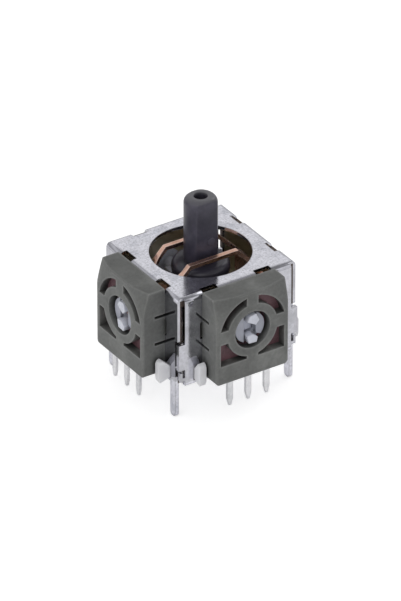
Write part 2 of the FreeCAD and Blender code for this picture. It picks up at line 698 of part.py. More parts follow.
def make_switch_cover():
    mid = HALF_Y + SW_T / 2
    out = SW_HALF + SW_COVER_T
    foot = SW_TOP - SW_COVER_DOWN
    top = SW_TOP + SW_COVER_T
    outline = [(-out, foot), (-out, top), (out, top), (out, foot),
               (SW_HALF, foot), (SW_HALF, SW_TOP), (-SW_HALF, SW_TOP), (-SW_HALF, foot)]
    cover = prism([(x, HALF_Y, z) for x, z in outline], (0, SW_T, 0))
    return cover.cut(rod(PLUNGER_R + TURN_GAP, (0, mid, SW_TOP - SW_COVER_T), (0, 0, 1), 3 * SW_COVER_T))


def make_switch_plunger():
    mid = HALF_Y + SW_T / 2
    top = AXIS_Z - BACK_R - TURN_GAP
    under = SW_TOP - 0.05
    foot = under - PLUNGER_FLANGE_T
    half = PLUNGER_FLANGE - TURN_GAP
    flange = box(-PLUNGER_FLANGE, PLUNGER_FLANGE, mid - half + 0.05, mid + half - 0.05, foot, under)
    shaft = rod(PLUNGER_R, (0, mid, foot), (0, 0, 1), top - foot)
    return fused([flange, shaft])


def make_switch_snap():
    mid = HALF_Y + SW_T / 2
    low = SW_FOOT + SW_WALL
    w = PLUNGER_FLANGE - 0.3
    r = (SNAP_R ** 2 + SNAP_RISE ** 2) / (2 * SNAP_RISE)
    outer = rod(r, (0, mid - w, low + SNAP_RISE - r), (0, 1, 0), 2 * w)
    inner = rod(r - SNAP_T, (0, mid - w - 1, low + SNAP_RISE - r), (0, 1, 0), 2 * w + 2)
    return outer.cut(inner).common(box(-SNAP_R, SNAP_R, mid - w, mid + w, low, low + 2))


def save(name, shape):
    shape.exportStep("parts/" + name + ".step")


def main():
    os.makedirs("parts", exist_ok=True)
    save("frame", make_frame())
    save("base", make_base())
    for tag, place in (("front", on_front_wall), ("left", on_left_wall)):
        save("sensor_housing_" + tag, place(housing()))
        save("sensor_board_" + tag, place(sensor_board()))
        save("rotor_" + tag, place(rotor()))
        save("wiper_" + tag, place(wiper()))
        for index in (-1, 0, 1):
            save("terminal_" + tag + "_" + str(index + 2), place(sensor_terminal(index)))
    save("upper_rocker", make_upper_rocker())
    save("lower_rocker", make_lower_rocker())
    save("pivot_pin", make_pivot_pin())
    save("stick", make_stick())
    save("return_disc", make_return_disc())
    save("return_spring", make_return_spring())
    save("switch_housing", make_switch_housing())
    save("switch_cover", make_switch_cover())
    save("switch_plunger", make_switch_plunger())
    save("switch_snap", make_switch_snap())
    number = 1
    for side in (-1, 1):
        for row in (-1, 1):
            save("switch_terminal_" + str(number), switch_terminal(side, row))
            number = number + 1


main()
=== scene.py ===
import math

import bpy
import bmesh
from mathutils import Matrix, Vector


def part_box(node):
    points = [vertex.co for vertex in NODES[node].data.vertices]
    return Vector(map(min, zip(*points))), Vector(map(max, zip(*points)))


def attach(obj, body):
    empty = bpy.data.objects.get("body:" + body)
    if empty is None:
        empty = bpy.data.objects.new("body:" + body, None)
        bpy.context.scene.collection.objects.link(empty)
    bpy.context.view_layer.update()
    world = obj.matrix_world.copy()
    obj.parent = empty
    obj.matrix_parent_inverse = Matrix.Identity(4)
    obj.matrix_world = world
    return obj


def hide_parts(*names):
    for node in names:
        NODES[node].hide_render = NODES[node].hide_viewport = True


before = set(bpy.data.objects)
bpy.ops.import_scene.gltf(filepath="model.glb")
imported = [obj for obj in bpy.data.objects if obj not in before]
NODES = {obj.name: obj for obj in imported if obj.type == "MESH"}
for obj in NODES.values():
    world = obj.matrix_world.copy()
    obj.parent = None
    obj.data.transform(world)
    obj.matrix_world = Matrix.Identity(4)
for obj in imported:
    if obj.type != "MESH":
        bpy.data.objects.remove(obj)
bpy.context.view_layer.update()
MM = 0.001


# Camera fitted to the photograph, millimetres in the row frame
CAMERA_AT = Vector((-512.27, -788.79, 582.29)) * MM
CAMERA_AZIMUTH = math.radians(-33.0)
CAMERA_ELEVATION = math.radians(31.54)
FOCAL_PX = 9598.0
FRAME_PX = 601.0
SENSOR_MM = 24.0
CLIP_NEAR = 0.05
CLIP_FAR = 20.0


# How far the lighter edges (partly from handling, partly painted highlight), the painted shade in grooves
# and crevices and the nylon's painted shade reach, and the depth of the fine relief
EDGE_SAMPLES = 4
PLASTIC_EDGE = 0.3 * MM
METAL_EDGE = 0.14 * MM
GROOVE_SHADE_REACH = 1.1 * MM
CREVICE_SHADE_REACH = 0.35 * MM
SHADE_REACH = 1.0 * MM
SCATTER = 0.4 * MM
RELIEF = 0.02 * MM
LIT_TOP_SHARE = 0.85
GROOVE_SHADE_SHARE = 0.8
GROOVE_SHADE = (0.012, 0.012, 0.011)
CUT_EDGE = (0.30, 0.30, 0.32)
CREVICE_SHADE = (0.05, 0.045, 0.042)

# Softened edges: widths in millimetres for the carried-over nodes, angles that count as an edge
SOFT = {"frame": 0.05, "base": 0.08, "sensor_housing_front": 0.07, "sensor_housing_left": 0.07,
        "upper_rocker": 0.05, "return_spring": 0.01}
SOFT_ELSE = 0.04
NODE_EDGE_ANGLE = math.radians(32.0)
PIECE_EDGE_ANGLE = math.radians(30.0)
WELD_REACH = 0.002 * MM
FLAT_ANGLE = math.radians(0.6)


# Node helpers

def new_material(name):
    mat = bpy.data.materials.new(name)
    mat.use_nodes = True
    tree = mat.node_tree
    tree.nodes.clear()
    out = tree.nodes.new("ShaderNodeOutputMaterial")
    shader = tree.nodes.new("ShaderNodeBsdfPrincipled")
    tree.links.new(shader.outputs["BSDF"], out.inputs["Surface"])
    return mat, tree, shader


def coords(tree, stretch=(1, 1, 1), turn=(0, 0, 0)):
    where = tree.nodes.new("ShaderNodeTexCoord")
    mapping = tree.nodes.new("ShaderNodeMapping")
    mapping.inputs["Scale"].default_value = stretch
    mapping.inputs["Rotation"].default_value = turn
    tree.links.new(where.outputs["Object"], mapping.inputs["Vector"])
    return mapping.outputs["Vector"]


def noise(tree, at, scale, detail=4.0, rough=0.55, distortion=0.0):
    node = tree.nodes.new("ShaderNodeTexNoise")
    node.inputs["Scale"].default_value = scale
    node.inputs["Detail"].default_value = detail
    node.inputs["Roughness"].default_value = rough
    node.inputs["Distortion"].default_value = distortion
    tree.links.new(at, node.inputs["Vector"])
    return node.outputs["Fac"]


def ramp(tree, value, stops):
    node = tree.nodes.new("ShaderNodeValToRGB")
    while len(node.color_ramp.elements) < len(stops):
        node.color_ramp.elements.new(0.5)
    for element, (place, colour) in zip(node.color_ramp.elements, stops):
        element.position = place
        if isinstance(colour, (int, float)):
            colour = (colour, colour, colour)
        element.color = (*colour, 1.0)
    tree.links.new(value, node.inputs["Fac"])
    return node.outputs["Color"]


def mix_colour(tree, factor, a, b, kind="MIX"):
    node = tree.nodes.new("ShaderNodeMix")
    node.data_type = "RGBA"
    node.blend_type = kind
    if isinstance(factor, (int, float)):
        node.inputs["Factor"].default_value = factor
    else:
        tree.links.new(factor, node.inputs["Factor"])
    for socket, value in ((6, a), (7, b)):
        if isinstance(value, tuple):
            node.inputs[socket].default_value = (*value, 1.0)
        else:
            tree.links.new(value, node.inputs[socket])
    return node.outputs[2]


def maths(tree, kind, a, b):
    node = tree.nodes.new("ShaderNodeMath")
    node.operation = kind
    for socket, value in ((0, a), (1, b)):
        if isinstance(value, (int, float)):
            node.inputs[socket].default_value = value
        else:
            tree.links.new(value, node.inputs[socket])
    return node.outputs[0]


def bump(tree, shader, height, strength, distance):
    node = tree.nodes.new("ShaderNodeBump")
    node.inputs["Strength"].default_value = strength
    node.inputs["Distance"].default_value = distance
    tree.links.new(height, node.inputs["Height"])
    tree.links.new(node.outputs["Normal"], shader.inputs["Normal"])


def times(tree, a, b):
    return maths(tree, "MULTIPLY", a, b)


def between(tree, value, low, high):
    return times(tree, maths(tree, "GREATER_THAN", value, low), maths(tree, "LESS_THAN", value, high))


# Where a point lies in its object: outputs X, Y and Z in metres
def position(tree):
    where = tree.nodes.new("ShaderNodeTexCoord")
    split = tree.nodes.new("ShaderNodeSeparateXYZ")
    tree.links.new(where.outputs["Object"], split.inputs[0])
    return split.outputs


# How far a face looks up: 1 level, 0 upright
def facing_up(tree):
    facing = tree.nodes.new("ShaderNodeNewGeometry")
    split = tree.nodes.new("ShaderNodeSeparateXYZ")
    tree.links.new(facing.outputs["True Normal"], split.inputs[0])
    return split.outputs["Z"]


# White where a surface comes close to an outer edge, or with inside False to a corner or groove
def near_edge(tree, reach, inside=True, low=0.35, high=0.95, alone=True):
    node = tree.nodes.new("ShaderNodeAmbientOcclusion")
    node.inside = inside
    node.only_local = alone
    node.samples = EDGE_SAMPLES
    node.inputs["Distance"].default_value = reach
    return ramp(tree, node.outputs["AO"], [(low, 1.0), (high, 0.0)])


# Black below one height, white above another
def height_mask(tree, low, high):
    risen = times(tree, maths(tree, "SUBTRACT", position(tree)["Z"], low), 1.0 / (high - low))
    return maths(tree, "MINIMUM", maths(tree, "MAXIMUM", risen, 0.0), 1.0)


# Materials

# Moulded plastic: cloudy colour, lighter edges partly from handling and partly a painted highlight, and
# painted shade in the grooves.
# With alone False the painted shade also gathers against neighbouring pieces; the optional two heights and
# a colour paint a highlight that grows lighter between them.
def moulded(name, colour, lighter, darker, rough, wear_and_highlight=0.35, edge=None, alone=True, lit_top=None):
    mat, tree, shader = new_material(name)
    at = coords(tree)
    cloud = noise(tree, at, 260.0, 3.0)
    fine = noise(tree, at, 2600.0, 3.0, 0.6)
    base = ramp(tree, cloud, [(0.32, darker), (0.5, colour), (0.7, lighter)])
    dusty = ramp(tree, fine, [(0.35, 0.9), (0.65, 1.08)])
    base = mix_colour(tree, 1.0, base, dusty, "MULTIPLY")
    # Lighter edges, partly from handling and partly a painted highlight
    base = mix_colour(tree, times(tree, near_edge(tree, PLASTIC_EDGE), wear_and_highlight), base, edge or lighter)
    # Painted highlight: lighter towards the top, between two heights
    if lit_top is not None:
        low, high, top_highlight = lit_top
        base = mix_colour(tree, times(tree, height_mask(tree, low, high), LIT_TOP_SHARE), base, top_highlight)
    # Painted shade in grooves, and with alone False against neighbouring pieces
    groove_shade = near_edge(tree, GROOVE_SHADE_REACH, False, 0.25, 0.92, alone)
    base = mix_colour(tree, times(tree, groove_shade, GROOVE_SHADE_SHARE), base, GROOVE_SHADE)
    gloss = ramp(tree, cloud, [(0.3, rough - 0.07), (0.7, rough + 0.08)])
    tree.links.new(base, shader.inputs["Base Color"])
    tree.links.new(gloss, shader.inputs["Roughness"])
    bump(tree, shader, fine, 0.35, RELIEF)
    return mat


# White where both |x| and |y| pass their limits, as in the gaps between neighbouring walls
def corner_gap_mask(tree, past_x, past_y):
    at = position(tree)
    wide = maths(tree, "GREATER_THAN", maths(tree, "ABSOLUTE", at["X"], 0.0), past_x)
    deep = maths(tree, "GREATER_THAN", maths(tree, "ABSOLUTE", at["Y"], 0.0), past_y)
    return times(tree, wide, deep)


# White on the level cut faces between two heights
def level_cut_mask(tree, low, high):
    level = maths(tree, "GREATER_THAN", maths(tree, "ABSOLUTE", facing_up(tree), 0.0), 0.9)
    return times(tree, between(tree, position(tree)["Z"], low, high), level)


# White on the outside of the bends, between the level top and the upright walls
def bend_mask(tree):
    return between(tree, facing_up(tree), 0.12, 0.96)


# White on upright faces above a height
def upright_mask(tree, above):
    upright = maths(tree, "LESS_THAN", maths(tree, "ABSOLUTE", facing_up(tree), 0.0), 0.3)
    return times(tree, upright, maths(tree, "GREATER_THAN", position(tree)["Z"], above))


# White on faces inside a box about the middle
def inner_face_mask(tree, half_x, half_y, foot, top):
    at = position(tree)
    near_x = maths(tree, "LESS_THAN", maths(tree, "ABSOLUTE", at["X"], 0.0), half_x)
    near_y = maths(tree, "LESS_THAN", maths(tree, "ABSOLUTE", at["Y"], 0.0), half_y)
    return times(tree, times(tree, near_x, near_y), between(tree, at["Z"], foot, top))


# Tinned metal: stains, flow marks, scratches and grain, with painted shade in crevices and against
# neighbouring pieces. With shell it's the box's sheet: painted shade on the upright walls and bends, a warm
# painted reflection inside, painted shade in the corner gaps and on the cuts
def tinned(name, colour, stain, rough_low, rough_high, speck, shell=None):
    mat, tree, shader = new_material(name)
    at = coords(tree)
    cloud = noise(tree, at, 420.0, 5.0, 0.62, 0.4)
    flow = noise(tree, coords(tree, (1, 1, 0.35)), 1300.0, 4.0, 0.6, 0.8)
    scratch = noise(tree, coords(tree, (14, 0.7, 14), (0, 0, 0.6)), 900.0, 2.0)
    grain = noise(tree, at, 3600.0, 3.0, 0.7)
    base = ramp(tree, cloud, [(0.3, stain), (0.5, colour), (0.75, colour)])
    streaks = ramp(tree, flow, [(0.35, 0.86), (0.62, 1.0)])
    base = mix_colour(tree, 1.0, base, streaks, "MULTIPLY")
    specks = ramp(tree, grain, [(0.34, speck), (0.5, 0.98), (0.62, 1.04)])
    base = mix_colour(tree, 1.0, base, specks, "MULTIPLY")
    base = mix_colour(tree, times(tree, near_edge(tree, METAL_EDGE), 0.75), base, CUT_EDGE)
    # Painted shade in crevices and against neighbouring pieces
    crevice_shade = times(tree, near_edge(tree, CREVICE_SHADE_REACH, False, 0.3, 0.9, False), 0.85)
    base = mix_colour(tree, crevice_shade, base, CREVICE_SHADE)
    mottle = times(tree, maths(tree, "ADD", cloud, flow), 0.5)
    rough = ramp(tree, mottle, [(0.38, rough_low), (0.62, rough_high)])
    if shell is not None:
        # Painted shade in patches on the upright walls, and on the bends
        patchy = ramp(tree, cloud, [(0.38, 0.95), (0.6, 0.4)])
        wall = times(tree, upright_mask(tree, shell["walls above"]), patchy)
        base = mix_colour(tree, wall, base, shell["wall"])
        base = mix_colour(tree, times(tree, bend_mask(tree), 0.6), base, shell["bend"])
        # A warm painted reflection on the inside faces
        inner = inner_face_mask(tree, *shell["inner box"])
        base = mix_colour(tree, inner, base, shell["inside"])
        # Painted shade in the corner gaps and on the level cut faces
        gap = times(tree, inner, corner_gap_mask(tree, *shell["corner gap"]))
        gap = maths(tree, "MAXIMUM", gap, level_cut_mask(tree, *shell["cut heights"]))
        base = mix_colour(tree, gap, base, shell["shaded gap"])
        rough = mix_colour(tree, inner, rough, shell["inside rough"])
    tree.links.new(base, shader.inputs["Base Color"])
    tree.links.new(rough, shader.inputs["Roughness"])
    shader.inputs["Metallic"].default_value = 1.0
    height = maths(tree, "ADD", times(tree, flow, 0.5), times(tree, scratch, 0.3))
    height = maths(tree, "ADD", height, times(tree, grain, 0.25))
    bump(tree, shader, height, 0.22, RELIEF)
    return mat


def laminate(name, colour, darker, lighter):
    mat, tree, shader = new_material(name)
    at = coords(tree)
    weave = noise(tree, coords(tree, (1, 1, 5)), 1500.0, 4.0, 0.6)
    cloud = noise(tree, at, 320.0, 3.0)
    base = ramp(tree, cloud, [(0.3, darker), (0.52, colour), (0.72, lighter)])
    base = mix_colour(tree, 1.0, base, ramp(tree, weave, [(0.3, 0.82), (0.7, 1.12)]), "MULTIPLY")
    tree.links.new(base, shader.inputs["Base Color"])
    shader.inputs["Roughness"].default_value = 0.5
    bump(tree, shader, weave, 0.3, RELIEF)
    return mat


def copper(name, colour, darker, edge):
    mat, tree, shader = new_material(name)
    at = coords(tree)
    cloud = noise(tree, at, 500.0, 4.0, 0.6)
    drawn = noise(tree, coords(tree, (0.4, 9, 9)), 700.0, 3.0)
    base = ramp(tree, cloud, [(0.3, darker), (0.55, colour), (0.75, colour)])
    # Lighter along the edges: a painted highlight
    base = mix_colour(tree, times(tree, near_edge(tree, METAL_EDGE), 0.85), base, edge)
    tree.links.new(base, shader.inputs["Base Color"])
    shader.inputs["Metallic"].default_value = 1.0
    tree.links.new(ramp(tree, drawn, [(0.3, 0.2), (0.7, 0.38)]), shader.inputs["Roughness"])
    bump(tree, shader, drawn, 0.25, RELIEF)
    return mat


# White plastic with light scattered under its skin and shade in its corners
def nylon(name, colour, darker, rough, shaded):
    mat, tree, shader = new_material(name)
    at = coords(tree)
    cloud = noise(tree, at, 380.0, 3.0)
    fine = noise(tree, at, 3000.0, 2.0)
    base = ramp(tree, cloud, [(0.3, darker), (0.6, colour)])
    shade = times(tree, near_edge(tree, SHADE_REACH, False, 0.2, 0.95), shaded)
    base = mix_colour(tree, shade, base, tuple(0.3 * c for c in darker))
    tree.links.new(base, shader.inputs["Base Color"])
    tree.links.new(ramp(tree, fine, [(0.3, rough - 0.05), (0.7, rough + 0.08)]), shader.inputs["Roughness"])
    shader.inputs["Subsurface Weight"].default_value = 0.25
    shader.inputs["Subsurface Radius"].default_value = (1.0, 1.0, 1.0)
    shader.inputs["Subsurface Scale"].default_value = SCATTER
    bump(tree, shader, fine, 0.2, RELIEF)
    return mat


# Box sheet: painted shade on the upright walls and bends, a warm painted reflection inside, and painted
# shade in the corner gaps and on the level cuts
SHELL = {
    "inner box": (7.7 * MM, 7.55 * MM, 0.1 * MM, 11.3 * MM), "inside": (0.69, 0.62, 0.46),
    "inside rough": (0.3, 0.3, 0.3), "corner gap": (6.9 * MM, 6.6 * MM),
    "cut heights": (10.9 * MM, 11.12 * MM), "shaded gap": (0.085, 0.065, 0.055),
    "bend": (0.34, 0.34, 0.38), "walls above": 0.4 * MM, "wall": (0.47, 0.47, 0.50),
}
TIN = tinned("tin_plate", (0.83, 0.83, 0.90), (0.64, 0.65, 0.72), 0.07, 0.17, 0.76, SHELL)
TIN_PIN = tinned("tin_pin", (0.88, 0.88, 0.90), (0.72, 0.73, 0.75), 0.18, 0.36, 0.93)
GREY = moulded("grey_moulding", (0.142, 0.146, 0.141), (0.215, 0.220, 0.212), (0.118, 0.122, 0.117), 0.5,
               wear_and_highlight=0.9, edge=(0.30, 0.305, 0.295), alone=False)
# The stick's top is painted lighter above 18.65 mm: a painted highlight
DARK = moulded("dark_moulding", (0.040, 0.037, 0.056), (0.075, 0.070, 0.100), (0.031, 0.029, 0.043), 0.34,
               lit_top=(18.65 * MM, 19.1 * MM, (0.15, 0.148, 0.162)))
BLACK = moulded("switch_moulding", (0.022, 0.022, 0.024), (0.05, 0.05, 0.052), (0.016, 0.016, 0.018), 0.48)
BOARD = laminate("brown_board", (0.195, 0.098, 0.115), (0.145, 0.074, 0.086), (0.240, 0.130, 0.148))
COPPER = copper("copper_strip", (0.78, 0.50, 0.40), (0.52, 0.29, 0.20), (0.95, 0.80, 0.74))
BRONZE = copper("bronze_strip", (0.66, 0.42, 0.20), (0.40, 0.23, 0.10), (0.85, 0.66, 0.42))
STEEL = tinned("steel_pin", (0.62, 0.62, 0.64), (0.45, 0.45, 0.47), 0.18, 0.32, 0.93)
NYLON = nylon("white_nylon", (0.95, 0.95, 0.99), (0.87, 0.87, 0.92), 0.38, 0.35)
ACETAL = nylon("white_acetal", (0.60, 0.62, 0.71), (0.52, 0.54, 0.62), 0.3, 0.9)
# Shaded and lit copies of the acetal: painted shade on the rotor body, painted highlight on the pads
ROTOR_SHADED = nylon("rotor_acetal_shaded", (0.47, 0.485, 0.56), (0.40, 0.415, 0.48), 0.34, 0.9)
ROTOR_LIT = nylon("rotor_pad_lit", (0.76, 0.78, 0.87), (0.68, 0.70, 0.78), 0.28, 0.5)

LOOKS = {
    "frame": TIN, "base": NYLON, "upper_rocker": COPPER, "lower_rocker": ACETAL, "pivot_pin": STEEL,
    "stick": DARK, "return_disc": ACETAL, "return_spring": STEEL, "switch_housing": BLACK,
    "switch_cover": TIN, "switch_plunger": DARK, "switch_snap": BRONZE,
}
for side in ("front", "left"):
    LOOKS["sensor_housing_" + side] = GREY
    LOOKS["sensor_board_" + side] = BOARD
    LOOKS["rotor_" + side] = ACETAL
    LOOKS["wiper_" + side] = BRONZE
    for i in (1, 2, 3):
        LOOKS["terminal_%s_%d" % (side, i)] = TIN_PIN
for i in (1, 2, 3, 4):
    LOOKS["switch_terminal_%d" % i] = TIN_PIN


# Carried-over nodes get their material and softly broken edges

def soften(obj, width, merge_flats):
    weld = obj.modifiers.new("weld", "WELD")
    weld.merge_threshold = WELD_REACH
    if merge_flats:
        planar = obj.modifiers.new("planar", "DECIMATE")
        planar.decimate_type = "DISSOLVE"
        planar.angle_limit = FLAT_ANGLE
    bevel = obj.modifiers.new("edges", "BEVEL")
    bevel.width = width
    bevel.segments = 2
    bevel.limit_method = "ANGLE"
    bevel.angle_limit = NODE_EDGE_ANGLE
    bevel.harden_normals = True
    for poly in obj.data.polygons:
        poly.use_smooth = True
    normal = obj.modifiers.new("normals", "WEIGHTED_NORMAL")
    normal.weight = 90
    normal.keep_sharp = True


for name, obj in NODES.items():
    obj.data.materials.clear()
    obj.data.materials.append(LOOKS[name])
    soften(obj, SOFT.get(name, SOFT_ELSE) * MM, merge_flats=name == "frame")


# Pieces built point by point

# Points on a circle's arc, angles in degrees
def arc(centre, r, start, end, steps):
    cx, cz = centre
    angles = [math.radians(start + (end - start) * i / steps) for i in range(steps + 1)]
    return [(cx + r * math.cos(t), cz + r * math.sin(t)) for t in angles]


# A cylinder stub standing out of a flat that faces -Y, with a broken edge
def raised_mark(bm, centre, r, flat, proud):
    edge = proud / 2
    last = 360 - 360 / MARK_SIDES
    rings = []
    for radius, y in ((r, -flat + OVERLAP), (r, -flat - proud + edge), (r - edge, -flat - proud)):
        circle = arc(centre, radius, 0, last, MARK_SIDES - 1)
        rings.append([bm.verts.new((x * MM, y * MM, z * MM)) for x, z in circle])
    for low, high in zip(rings, rings[1:]):
        for i in range(len(low)):
            j = (i + 1) % len(low)
            bm.faces.new((low[i], low[j], high[j], high[i]))
    bm.faces.new(rings[0])
    bm.faces.new(rings[-1])


# A block with a round bore along X; half sizes in X and Y, bottom and top
def bored_block(bm, hx, hy, z0, z1, bore_z, bore_r):
    corners = [math.atan2(z - bore_z, y) for y in (-hy, hy) for z in (z0, z1)]
    turns = sorted([2 * math.pi * i / BORE_SIDES - math.pi for i in range(BORE_SIDES)] + corners)
    sides = []
    for x in (-hx, hx):
        outer = []
        inner = []
        for turn in turns:
            c = math.cos(turn)
            d = math.sin(turn)
            reach_y = hy / max(abs(c), 1e-9)
            reach_z = (z1 - bore_z if d > 0 else bore_z - z0) / max(abs(d), 1e-9)
            reach = min(reach_y, reach_z)
            outer.append(bm.verts.new((x * MM, reach * c * MM, (bore_z + reach * d) * MM)))
            inner.append(bm.verts.new((x * MM, bore_r * c * MM, (bore_z + bore_r * d) * MM)))
        sides.append((outer, inner))
    (outer_a, inner_a), (outer_b, inner_b) = sides
    for i in range(len(turns)):
        j = (i + 1) % len(turns)
        bm.faces.new((outer_a[i], outer_a[j], inner_a[j], inner_a[i]))
        bm.faces.new((outer_b[i], outer_b[j], inner_b[j], inner_b[i]))
        bm.faces.new((outer_a[i], outer_a[j], outer_b[j], outer_b[i]))
        bm.faces.new((inner_a[i], inner_a[j], inner_b[j], inner_b[i]))


# A closed turned body about Z from (radius, height) points; flat limits its half width in Y
def lathe(bm, profile, segments, flat=None):
    rings = []
    for r, z in profile:
        ring = []
        for i in range(segments):
            turn = 2 * math.pi * (i + 0.5) / segments
            x = r * math.cos(turn)
            y = r * math.sin(turn)
            if flat is not None:
                y = max(-flat, min(flat, y))
            ring.append(bm.verts.new((x * MM, y * MM, z * MM)))
        rings.append(ring)
    for low, high in zip(rings, rings[1:]):
        for i in range(segments):
            j = (i + 1) % segments
            bm.faces.new((low[i], low[j], high[j], high[i]))
    bm.faces.new(list(reversed(rings[0])))
    bm.faces.new(rings[-1])


# A closed stack of rectangles: half sizes in X and Y, height
def frustum(bm, rects):
    rings = []
    for hx, hy, z in rects:
        corners = [(-hx, -hy), (hx, -hy), (hx, hy), (-hx, hy)]
        rings.append([bm.verts.new((x * MM, y * MM, z * MM)) for x, y in corners])
    for low, high in zip(rings, rings[1:]):
        for i in range(4):
            j = (i + 1) % 4
            bm.faces.new((low[i], low[j], high[j], high[i]))
    bm.faces.new(list(reversed(rings[0])))
    bm.faces.new(rings[-1])


def finish_piece(bm, name, materials, round_edge, segments):
    bmesh.ops.recalc_face_normals(bm, faces=bm.faces)
    mesh = bpy.data.meshes.new(name)
    bm.to_mesh(mesh)
    bm.free()
    for material in materials:
        mesh.materials.append(material)
    piece = bpy.data.objects.new(name, mesh)
    bpy.context.scene.collection.objects.link(piece)
    bevel = piece.modifiers.new("edges", "BEVEL")
    bevel.width = round_edge * MM
    bevel.segments = segments
    bevel.limit_method = "ANGLE"
    bevel.angle_limit = PIECE_EDGE_ANGLE
    for poly in mesh.polygons:
        poly.use_smooth = True
    normal = piece.modifiers.new("normals", "WEIGHTED_NORMAL")
    normal.keep_sharp = True
    return piece


# Shared by the rotors and the stick, millimetres: axes' height, pieces sunk into each other, circle sides
AXIS_Z = 6.75
OVERLAP = 0.05
BORE_SIDES = 24
MARK_SIDES = 24

# Rotors: sizes in millimetres, drawn about the Y axis with the wall face at y 0 and the open end at -Y
ROTOR_SIDES = 72
ROTOR_EDGE = 0.05
ROTOR_R = 1.97
ROTOR_BORE = 0.9
ROTOR_SLOT_FLOOR = -1.95
ROTOR_CHEEK_FACE = -2.4
ROTOR_PAD_FACE = -2.92
ROTOR_FLANGE = (3.4, -0.70, -0.20)
ROTOR_NECK = (1.9, 0.85)
CHEEK_LEFT = (114, 246, 26)
CHEEK_RIGHT = (-42, 62, 22)
CHEEK_RIGHT_CUT = [(0.8, 1.3), (0.8, -1.0)]
PAD_UPPER = [(-0.62, 1.05), (-0.3, 1.72), (0.55, 1.88), (1.0, 0.95), (0.5, 0.42)]
PAD_LOWER = [(-0.68, -0.82), (-0.45, -1.82), (0.62, -1.88), (0.78, -1.25), (0.1, -0.72)]
BODY_SLOT = 0
PAD_SLOT = 1
FRONT_WALL = 7.9
LEFT_WALL = 8.05


# A ring turned about Y from a closed outline of (radius, y) points
def turned_ring(bm, profile, segments):
    rings = []
    for i in range(segments):
        turn = 2 * math.pi * i / segments
        c = math.cos(turn) * MM
        d = math.sin(turn) * MM
        rings.append([bm.verts.new((r * c, y * MM, r * d)) for r, y in profile])
    for a, b in zip(rings, rings[1:] + rings[:1]):
        for i in range(len(profile)):
            j = (i + 1) % len(profile)
            bm.faces.new((a[i], a[j], b[j], b[i]))


# An outline of (x, z) points drawn out along Y from its face to its foot
def block(bm, outline, face, foot, material):
    near = [bm.verts.new((x * MM, face * MM, z * MM)) for x, z in outline]
    far = [bm.verts.new((x * MM, foot * MM, z * MM)) for x, z in outline]
    faces = [bm.faces.new(near), bm.faces.new(far)]
    for i in range(len(outline)):
        j = (i + 1) % len(outline)
        faces.append(bm.faces.new((near[i], near[j], far[j], far[i])))
    for side in faces:
        side.material_index = material


def make_rotor(side, body, wall, turn):
    bm = bmesh.new()
    flange_r, flange_near, flange_far = ROTOR_FLANGE
    neck_r, neck_end = ROTOR_NECK
    profile = [(ROTOR_BORE, ROTOR_SLOT_FLOOR), (ROTOR_R, ROTOR_SLOT_FLOOR), (ROTOR_R, flange_near),
               (flange_r, flange_near), (flange_r, flange_far), (neck_r, flange_far), (neck_r, neck_end),
               (ROTOR_BORE, neck_end)]
    turned_ring(bm, profile, ROTOR_SIDES)
    foot = ROTOR_SLOT_FLOOR + OVERLAP
    block(bm, arc((0, 0), ROTOR_R, *CHEEK_LEFT), ROTOR_CHEEK_FACE, foot, BODY_SLOT)
    block(bm, arc((0, 0), ROTOR_R, *CHEEK_RIGHT) + CHEEK_RIGHT_CUT, ROTOR_CHEEK_FACE, foot, BODY_SLOT)
    block(bm, PAD_UPPER, ROTOR_PAD_FACE, foot, PAD_SLOT)
    block(bm, PAD_LOWER, ROTOR_PAD_FACE, foot, PAD_SLOT)
    place = Matrix.Rotation(turn, 4, "Z") @ Matrix.Translation((0, -wall * MM, AXIS_Z * MM))
    bmesh.ops.transform(bm, matrix=place, verts=bm.verts)
    piece = finish_piece(bm, "rotor_body_" + side, [ROTOR_SHADED, ROTOR_LIT], ROTOR_EDGE, 2)
    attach(piece, body)
    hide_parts("rotor_" + side)


make_rotor("front", "front_rotor", FRONT_WALL, 0.0)
make_rotor("left", "upper_rocker", LEFT_WALL, -math.pi / 2)


# Stick: sizes in millimetres, heights above the board, shaft radius and half width across the flats
STICK_SIDES = 96
STICK_EDGE = 0.07
STICK_R = 1.98
STICK_FLAT = 1.42
STICK_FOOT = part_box("stick")[0][2] / MM
STICK_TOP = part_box("stick")[1][2] / MM
SHAFT_SINK = 0.4
CROWN_R = 3.4
CROWN_TOP = 10.75
CROWN_FOOT = 8.6
CROWN_ROUND_FOOT = 1.0
CROWN_ROUND_TOP = 0.8
NOSE_ROUND = 0.85
NOSE_DROP = 0.08
HOLE_RIM = 0.08
HOLE_R = 0.8
HOLE_DEEP = 4.0
MARK_AT = (0.48, 13.5)
MARK_R = 0.5
MARK_HIGH = 0.08
STEM_X = 1.3
STEM_Y = 1.5
STEM_SINK = 0.3
FOOT_HALF = 0.6
FOOT_TAPER = 1.3
PIN_BORE_R = 0.65


